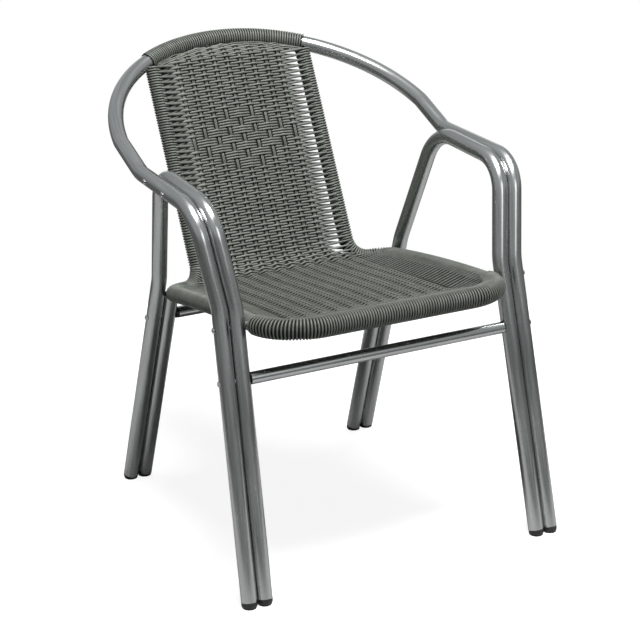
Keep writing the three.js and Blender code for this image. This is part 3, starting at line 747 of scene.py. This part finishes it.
def top_fill_strands():
    """The rows between the back's first row and the hoop."""
    lower, gap, widths, normal = top_fill_lines()
    nearest = np.rint(lower[:, 0] / BACK_WARP_STEP)
    near = over_warp(np.abs(lower[:, 0] - nearest * BACK_WARP_STEP), 0)
    room = smooth((widths - TOP_LEAST_WIDTH) / TOP_LEAST_WIDTH)
    strands = []
    for k in range(1, TOP_ROWS):
        swing = np.where((nearest + k) % 2 == 0, 1, -1) * BACK_SWING * near * room
        points = lower + gap * k + normal * swing[:, None]
        strands.append((points, normal, section(widths * TOP_FILL_SHARE, BACK_THICKNESS)))
    return strands


def top_painted_shade_strands():
    """Painted shade inside the weave between those rows: near-black strands."""
    lower, gap, widths, normal = top_fill_lines()
    strands = []
    for k in range(TOP_ROWS):
        points = lower + gap * (k + 1 / 2)
        strands.append((points, normal, section(widths * SHADE_FILL_SHARE, SHADE_THICKNESS)))
    return strands


def binding_strands():
    """The strands that bind the top rows to the hoop, in front of them."""
    x = np.linspace(BINDING_X[0], BINDING_X[-1], BINDING_POINTS)
    edge = hoop_edge(x, HOOP_RADIUS + WINDING_THICKNESS)
    down = -unit(np.array([0.0, UPRIGHT_SLOPE, 1.0]))
    outline = section(BINDING_WIDTH, BINDING_THICKNESS)
    strands = []
    for k in range(BINDING_COUNT):
        drop = np.interp(x, BINDING_X, BINDING_DROP) + k * BINDING_STEP
        points = edge + drop[:, None] * down + BINDING_DEPTH * row_normal(0)
        strands.append((points, row_normals(0, points), outline))
    return strands


# Windings and the front roll

def winding(run, start, end, pitch, core, thickness):
    """One strand wound round a tube, turn beside turn."""
    count = int((end - start) / pitch * TURN_STEPS)
    along = np.linspace(start, end, count + 1)
    middle, _, normal, binormal = run.at(along)
    angle = 2 * math.pi * (along - start) / pitch
    radial = normal * np.cos(angle)[:, None] + binormal * np.sin(angle)[:, None]
    return middle + radial * (core + thickness - TURN_THICKNESS / 2), radial


def winding_piece(name, wound, width, material, node):
    points, normals = wound
    piece = strand_mesh(name, [(points, normals, section(width, TURN_THICKNESS))], material)
    finish_piece(piece, "woven_strand", node)


def both_sides(wound):
    points, normals = wound
    return {"right": (points, normals), "left": (mirror(points), mirror(normals))}


def roll_loop(fan_share):
    """One turn of the front roll in its own plane: reach behind the rail, height over it."""
    reach = ROLL_LEAST_REACH + (ROLL_TIP_REACH - ROLL_LEAST_REACH) * smooth(fan_share)
    tip = np.array([reach, ROLL_TIP_RISE])
    distance = float(np.linalg.norm(tip))
    tip_angle = math.atan2(tip[1], tip[0])
    open_angle = math.acos(ROLL_RADIUS / distance)
    arc = np.linspace(tip_angle + open_angle, tip_angle + 2 * math.pi - open_angle, TURN_STEPS)
    circle = np.stack([np.cos(arc), np.sin(arc)], axis=-1) * ROLL_RADIUS
    flats = np.linspace(0, 1, ROLL_FLAT_STEPS)[:, None]
    rise = tip + (circle[0] - tip) * flats[:-1]
    fall = circle[-1] + (tip - circle[-1]) * flats[1:-1]
    return np.concatenate([rise, circle, fall])


def roll_start():
    """Where the roll begins along the right-hand half of the rim, round the front corner."""
    y = RIM_FRONT[1] + RIM_FRONT_BEND * (1 - math.cos(ROLL_FAN_ANGLE))
    return RIM_RUN.length_where(lambda p: p[:, 1] <= y)


def roll_frames(along):
    """The rail's middle, the way back to the seat and the way up, along the right-hand half of the rim."""
    middle, tangent, _, _ = RIM_RUN.at(along)
    up = unit(np.array([0.0, 0.0, 1.0]) - tangent * tangent[:, 2:])
    return middle, np.cross(tangent, up), up


def corner_share(along):
    """0 where the roll begins, 1 where it is round the front corner, and more beyond."""
    return (along - roll_start()) / (RIM_FRONT_BEND * ROLL_FAN_ANGLE)


def roll_loops(along):
    """The turns of the roll at lengths along the rim: short at the side, and full once past the corner."""
    return [roll_loop(share) for share in corner_share(along)]


def turn_lengths():
    """Where the roll's turns begin along the rim: spread out round the corner, close along the front."""
    start = roll_start()
    end = RIM_RUN.lengths[-1]
    lengths = [start]
    while lengths[-1] < end:
        along_front = smooth(corner_share(lengths[-1]))
        lengths.append(lengths[-1] + ROLL_CORNER_PITCH + (ROLL_PITCH - ROLL_CORNER_PITCH) * along_front)
    reach = np.array(lengths) - start
    return start + reach * (end - start) / reach[-1]


def front_roll(turns):
    """The strand round the front rail and back to the crease, one turn between each two lengths."""
    flat = np.concatenate(roll_loops(turns[:-1]))
    done = np.arange(len(flat)) / len(flat) * (len(turns) - 1)
    middle, back, up = roll_frames(np.interp(done, np.arange(len(turns)), turns))
    points = middle + back * flat[:, :1] + up * flat[:, 1:]
    way = np.gradient(flat, axis=0)
    return points, unit(back * way[:, 1:] - up * way[:, :1])


def roll_shade_layer():
    """Painted shade inside the front roll: a near-black shape that shows between its turns."""
    start = roll_start()
    end = RIM_RUN.lengths[-1]
    along = np.linspace(start, end, int((end - start) / ROLL_SHADE_STEP))
    middle, _, up = roll_frames(along)
    outlines = np.array(roll_loops(along)) * ROLL_SHADE_SHARE
    mirrored = outlines[:, ::-1] * np.array([-1.0, 1.0])
    return [(middle, up, outlines), (mirror(middle), mirror(up), mirrored)]


# Lines of the frame's tubes

def along_leg(foot, knee, z):
    return np.array(foot) + (np.array(knee) - np.array(foot)) * z / knee[2]


def inward(point):
    """The same place on the tube beside it, nearer the chair's middle."""
    return np.array(point) - np.array([PAIR_STEP, 0.0, 0.0])


def outer_tube_points():
    corners = [along_leg(FRONT_FOOT, FRONT_KNEE, GLIDE_HEIGHT), FRONT_KNEE, ARM_FRONT]
    corners += [hoop_at_angle(HOOP_START_ANGLE), hoop_at_angle(HOOP_LEAD_ANGLE)]
    half = bent_path(corners, [KNEE_BEND, ARM_FRONT_BEND, HOOP_START_BEND], TUBE_STEP)
    arc = hoop_at_angle(np.linspace(HOOP_LEAD_ANGLE, 0, HOOP_ARC_POINTS)[1:])
    return whole_line(np.concatenate([half, arc]))


def side_tube_points():
    front = [along_leg(FRONT_FOOT, FRONT_KNEE, GLIDE_HEIGHT), FRONT_KNEE, ARM_FRONT]
    corners = [inward(corner) for corner in front]
    corners += [ARM_REAR, REAR_KNEE, along_leg(REAR_FOOT, REAR_KNEE, GLIDE_HEIGHT)]
    return bent_path(corners, [KNEE_BEND, ARM_FRONT_BEND, ARM_REAR_BEND, KNEE_BEND], TUBE_STEP)


def inner_rear_leg_points():
    heights = (INNER_REAR_LEG_TOP, GLIDE_HEIGHT)
    ends = [inward(along_leg(REAR_FOOT, REAR_KNEE, z)) for z in heights]
    return bent_path(ends, [], TUBE_STEP)


def stretcher_ends():
    """The right-hand end of each stretcher."""
    front = inward(along_leg(FRONT_FOOT, FRONT_KNEE, FRONT_STRETCHER_Z))
    front[0] -= TUBE_RADIUS
    rear = along_leg(REAR_FOOT, REAR_KNEE, REAR_STRETCHER_Z)
    rear[0] = REAR_STRETCHER_END
    return {"front_stretcher": front, "rear_stretcher": rear}


# Materials

def node_material(name):
    material = bpy.data.materials.new(name)
    material.use_nodes = True
    tree = material.node_tree
    shader = next(node for node in tree.nodes if node.type == "BSDF_PRINCIPLED")
    return material, tree, shader


def noise(tree, scale, detail, stretch=(1, 1, 1), place="Object"):
    coordinates = tree.nodes.new("ShaderNodeTexCoord")
    mapping = tree.nodes.new("ShaderNodeMapping")
    mapping.inputs["Scale"].default_value = stretch
    texture = tree.nodes.new("ShaderNodeTexNoise")
    texture.inputs["Scale"].default_value = scale
    texture.inputs["Detail"].default_value = detail
    tree.links.new(coordinates.outputs[place], mapping.inputs["Vector"])
    tree.links.new(mapping.outputs["Vector"], texture.inputs["Vector"])
    return texture.outputs["Fac"]


def polish_lines(tree, detail):
    return noise(tree, POLISH_SCALE, detail, POLISH_STRETCH, "UV")


def ramp(tree, source, stops):
    node = tree.nodes.new("ShaderNodeValToRGB")
    elements = node.color_ramp.elements
    elements[0].position, elements[0].color = stops[0]
    elements[1].position, elements[1].color = stops[-1]
    for position, color in stops[1:-1]:
        element = elements.new(position)
        element.color = color
    tree.links.new(source, node.inputs["Fac"])
    return node.outputs["Color"]


def mixed(tree, factor, first, second):
    """One colour or the other. Each value is an output or a plain one."""
    mix = tree.nodes.new("ShaderNodeMix")
    mix.data_type = "RGBA"
    for name, value in (("Factor", factor), ("A", first), ("B", second)):
        if isinstance(value, (float, tuple)):
            mix.inputs[name].default_value = value
        else:
            tree.links.new(value, mix.inputs[name])
    return mix.outputs["Result"]


def map_range(tree, source, low, high):
    """0 where the source is at low, and 1 where it is at high."""
    node = tree.nodes.new("ShaderNodeMapRange")
    node.inputs["From Min"].default_value = low
    node.inputs["From Max"].default_value = high
    tree.links.new(source, node.inputs["Value"])
    return node.outputs["Result"]


def seen_directly(tree):
    """1 for what the camera sees, also through something clear, and 0 for any other ray."""
    path = tree.nodes.new("ShaderNodeLightPath")
    node = tree.nodes.new("ShaderNodeMath")
    node.operation = "MAXIMUM"
    tree.links.new(path.outputs["Is Camera Ray"], node.inputs[0])
    tree.links.new(path.outputs["Is Transmission Ray"], node.inputs[1])
    return node.outputs["Value"]


def bump(tree, shader, source, strength, distance):
    node = tree.nodes.new("ShaderNodeBump")
    node.inputs["Strength"].default_value = strength
    node.inputs["Distance"].default_value = distance
    tree.links.new(source, node.inputs["Height"])
    tree.links.new(node.outputs["Normal"], shader.inputs["Normal"])


def strand_material(name, colors, gloss):
    """A strand's material, each length a little different: grey-green plastic, or near-black for painted
    shade.
    """
    material, tree, shader = node_material(name)
    geometry = tree.nodes.new("ShaderNodeNewGeometry")
    along = ramp(tree, noise(tree, *STRAND_GRAIN), list(zip(STRAND_GRAIN_STOPS, colors)))
    by_strand = ramp(tree, geometry.outputs["Random Per Island"], list(zip((0.0, 1.0), colors)))
    color = mixed(tree, STRAND_OWN_SHARE, along, by_strand)
    tree.links.new(color, shader.inputs["Base Color"])
    shader.inputs["Roughness"].default_value = STRAND_ROUGHNESS
    shader.inputs["Specular IOR Level"].default_value = gloss
    bump(tree, shader, noise(tree, *STRAND_RELIEF_GRAIN), *STRAND_RELIEF)
    return material


def aluminium_material():
    """Polished tube with faint lines of polishing along it."""
    material, tree, shader = node_material("polished_aluminium")
    shader.inputs["Metallic"].default_value = 1.0
    color = ramp(tree, polish_lines(tree, POLISH_COLOR_DETAIL), ALUMINIUM_COLOR_STOPS)
    tree.links.new(color, shader.inputs["Base Color"])
    rough = ramp(tree, polish_lines(tree, POLISH_ROUGHNESS_DETAIL), ALUMINIUM_ROUGHNESS_STOPS)
    tree.links.new(rough, shader.inputs["Roughness"])
    bump(tree, shader, polish_lines(tree, POLISH_RELIEF_DETAIL), *POLISH_RELIEF)
    return material


def plastic_material():
    material, tree, shader = node_material("black_plastic")
    color = ramp(tree, noise(tree, *PLASTIC_GRAIN), PLASTIC_STOPS)
    tree.links.new(color, shader.inputs["Base Color"])
    shader.inputs["Roughness"].default_value = PLASTIC_ROUGHNESS
    bump(tree, shader, noise(tree, *PLASTIC_RELIEF_GRAIN), *PLASTIC_RELIEF)
    return material


def steel_material():
    material, tree, shader = node_material("fastener_steel")
    shader.inputs["Metallic"].default_value = 1.0
    color = ramp(tree, noise(tree, *STEEL_GRAIN), STEEL_STOPS)
    tree.links.new(color, shader.inputs["Base Color"])
    shader.inputs["Roughness"].default_value = STEEL_ROUGHNESS
    return material


# Pieces

def dress_frame(by_slot):
    for record_part in frame["record"]["subparts"]:
        node = frame["nodes"][record_part["node"]]
        material = by_slot[record_part["material_slot"]]
        node.data.materials.clear()
        node.data.materials.append(material)


def frame_tube(name, points, radius, node, material):
    finish_piece(tube_mesh(name, points, radius, TUBE_WALL, material), "frame_aluminium", node)


def frame_pieces(aluminium):
    frame_tube("outer_tube", outer_tube_points(), TUBE_RADIUS, "outer_frame_tube", aluminium)
    side_points = side_tube_points()
    leg_points = inner_rear_leg_points()
    sides = (("right", side_points, leg_points), ("left", mirror(side_points), mirror(leg_points)))
    for side, tube, leg in sides:
        frame_tube(side + "_side_tube", tube, TUBE_RADIUS, side + "_side_frame_tube", aluminium)
        frame_tube(side + "_inner_rear_leg", leg, TUBE_RADIUS, side + "_rear_leg_tube", aluminium)
    frame_tube("rim_tube", whole_line(RIM), RIM_RADIUS, "seat_and_back_rim_tube", aluminium)
    for name, end in stretcher_ends().items():
        points = bent_path([mirror(end), end], [], TUBE_STEP)
        frame_tube(name + "_tube", points, STRETCHER_RADIUS, name, aluminium)


def weave_pieces(strand, painted_shade):
    wefts = [weft_row(row) for row in range(ROWS)]
    top = top_fill_strands() + binding_strands()
    warps = top_warp_strands()
    for warp in range(-SEAT_WARPS, SEAT_WARPS + 1):
        warps.extend(warp_strands(warp))
    # Near-black strands between the rows paint the shade inside the weave
    inner = top_painted_shade_strands() + [painted_shade_row(row) for row in range(ROWS - 1)]
    back_piece = strand_mesh("back_wefts", wefts[:MIDDLE_BEND_ROW], strand)
    seat_piece = strand_mesh("seat_wefts", wefts[MIDDLE_BEND_ROW:], strand)
    top_piece = strand_mesh("top_wefts", top, strand)
    warps_piece = strand_mesh("warps", warps, strand)
    finish_piece(back_piece, "woven_strand", "woven_back")
    finish_piece(top_piece, "woven_strand", "woven_back")
    finish_piece(seat_piece, "woven_strand", "woven_seat")
    finish_piece(warps_piece, "woven_strand", "woven_back", "woven_seat")
    weave_shade_piece = strand_mesh("weave_painted_shade", inner, painted_shade)
    finish_piece(weave_shade_piece, "woven_strand", "woven_back", "woven_seat")


def winding_pieces(strand):
    foot = RIM_RUN.length_where(lambda p: p[:, 1] <= UPRIGHT_FOOT[1] + UPRIGHT_WINDING_END)
    side_thickness = SIDE_OUTER_RADIUS - RIM_RADIUS
    upright = winding(RIM_RUN, UPRIGHT_WINDING_START, foot, UPRIGHT_PITCH, RIM_RADIUS, WINDING_THICKNESS)
    seat_side = winding(RIM_RUN, foot, roll_start(), SIDE_PITCH, RIM_RADIUS, side_thickness)
    rim_windings = (("upright", upright, UPRIGHT_PITCH * WINDING_FILL_SHARE),
                    ("seat_side", seat_side, SIDE_PITCH * SIDE_FILL_SHARE))
    for place, wound, width in rim_windings:
        for side, one_side in both_sides(wound).items():
            name = side + "_" + place
            winding_piece(name + "_winding", one_side, width, strand, name + "_wrap")
    turns = turn_lengths()
    for side, order in (("right", 1), ("left", -1)):
        roll = both_sides(front_roll(turns[::order]))[side]
        winding_piece(side + "_front_roll", roll, ROLL_PITCH * ROLL_FILL_SHARE, strand, "front_roll_wrap")
    hoop = Run(wound_hoop(), (0, 0, 1))
    wound = winding(hoop, 0.0, hoop.lengths[-1], HOOP_PITCH, HOOP_RADIUS, WINDING_THICKNESS)
    winding_piece("hoop_winding", wound, HOOP_PITCH * WINDING_FILL_SHARE, strand, "hoop_wrap")


def shade_layer_pieces(painted_shade):
    """Painted shade between the turns: near-black layers on the rim and the hoop, and inside the front
    roll.
    """
    layers = (("rim_painted_shade", whole_line(RIM), RIM_RADIUS), ("hoop_painted_shade", wound_hoop(), HOOP_RADIUS))
    for name, points, tube_radius in layers:
        radius = tube_radius + SHADE_LAYER_THICKNESS
        layer = tube_mesh(name, points, radius, SHADE_LAYER_THICKNESS, painted_shade)
        finish_piece(layer, "woven_strand")
    core = strand_mesh("front_roll_painted_shade", roll_shade_layer(), painted_shade)
    finish_piece(core, "woven_strand", "front_roll_wrap")


# Camera, floor, lamps and world

def add_camera():
    back = np.array([math.sin(CAMERA_YAW) * math.cos(CAMERA_PITCH),
                     -math.cos(CAMERA_YAW) * math.cos(CAMERA_PITCH),
                     math.sin(CAMERA_PITCH)])
    level_right = np.array([math.cos(CAMERA_YAW), math.sin(CAMERA_YAW), 0.0])
    level_up = np.cross(back, level_right)
    right = level_right * math.cos(CAMERA_ROLL) + level_up * math.sin(CAMERA_ROLL)
    up = level_up * math.cos(CAMERA_ROLL) - level_right * math.sin(CAMERA_ROLL)
    place = np.array([0.0, CHAIR_SHIFT_Y, CAMERA_TARGET_Z])
    place = place + back * CAMERA_DEPTH + right * CAMERA_RIGHT + up * CAMERA_UP
    data = bpy.data.cameras.new("camera")
    data.sensor_width = CAMERA_SENSOR_MM
    data.lens = CAMERA_LENS_MM
    data.clip_end = CAMERA_FAR
    matrix = np.eye(4)
    matrix[:3] = np.stack([right, up, back, place], axis=-1)
    camera = add_object("camera", data)
    camera.matrix_world = Matrix(matrix.tolist())
    bpy.context.scene.camera = camera


def floor_material():
    """Pale floor, which the camera sees brighter than the lamps make it."""
    material, tree, shader = node_material("pale_floor")
    shader.inputs["Base Color"].default_value = FLOOR_COLOR
    shader.inputs["Roughness"].default_value = FLOOR_ROUGHNESS
    shader.inputs["Specular IOR Level"].default_value = 0.0
    lift = tree.nodes.new("ShaderNodeMath")
    lift.operation = "MULTIPLY"
    lift.inputs[1].default_value = FLOOR_LIFT
    tree.links.new(seen_directly(tree), lift.inputs[0])
    shader.inputs["Emission Color"].default_value = WHITE
    tree.links.new(lift.outputs["Value"], shader.inputs["Emission Strength"])
    return material


def add_floor():
    turns = [2 * math.pi * k / FLOOR_SIDES for k in range(FLOOR_SIDES)]
    rim = [(FLOOR_RADIUS * math.cos(turn), FLOOR_RADIUS * math.sin(turn), 0) for turn in turns]
    mesh = bpy.data.meshes.new("floor")
    mesh.from_pydata(rim, [], [tuple(range(FLOOR_SIDES))])
    add_piece("floor", mesh, floor_material())


def add_area_light(name, place, size, power):
    data = bpy.data.lights.new(name, "AREA")
    data.shape = "RECTANGLE"
    data.size, data.size_y = size
    data.energy = power
    light = add_object(name, data)
    light.location = place
    direction = Vector(AIM) - Vector(place)
    light.rotation_euler = direction.to_track_quat("-Z", "Y").to_euler()


def add_world():
    """A white backdrop. The metal shows it behind the chair, and a dim room on the other sides."""
    world = bpy.data.worlds.new("studio")
    world.use_nodes = True
    tree = world.node_tree
    background = next(node for node in tree.nodes if node.type == "BACKGROUND")
    coordinates = tree.nodes.new("ShaderNodeTexCoord")
    facing = tree.nodes.new("ShaderNodeVectorMath")
    facing.operation = "DOT_PRODUCT"
    facing.inputs[1].default_value = ROOM_FRONT
    tree.links.new(coordinates.outputs["Generated"], facing.inputs[0])
    backdrop = map_range(tree, facing.outputs["Value"], BACKDROP_FROM, BACKDROP_TO)
    parts = tree.nodes.new("ShaderNodeSeparateXYZ")
    tree.links.new(coordinates.outputs["Generated"], parts.inputs["Vector"])
    height = map_range(tree, parts.outputs["Z"], -1, 1)
    room = mixed(tree, backdrop, ramp(tree, height, ROOM_STOPS), WHITE)
    path = tree.nodes.new("ShaderNodeLightPath")
    level = (ROOM_LEVEL, ROOM_LEVEL, ROOM_LEVEL, 1)
    lighting = mixed(tree, path.outputs["Is Glossy Ray"], level, room)
    shown = mixed(tree, seen_directly(tree), lighting, WHITE)
    tree.links.new(shown, background.inputs["Color"])
    bpy.context.scene.world = world


strand = strand_material("woven_strand", STRAND_COLORS, STRAND_GLOSS)
# Near-black material that paints the shade inside the weave, the windings and the front roll
painted_shade = strand_material("painted_shade_strand", PAINTED_SHADE_COLORS, PAINTED_SHADE_GLOSS)
materials = {
    "frame_aluminium": aluminium_material(),
    "woven_strand": strand,
    "black_plastic": plastic_material(),
    "fastener_steel": steel_material(),
}
dress_frame(materials)
frame_pieces(materials["frame_aluminium"])
weave_pieces(strand, painted_shade)
winding_pieces(strand)
shade_layer_pieces(painted_shade)
add_camera()
add_floor()
add_world()
add_area_light("key", KEY_PLACE, KEY_SIZE, KEY_POWER)
add_area_light("fill", FILL_PLACE, FILL_SIZE, FILL_POWER)
bpy.context.scene.view_settings.view_transform = "Standard"
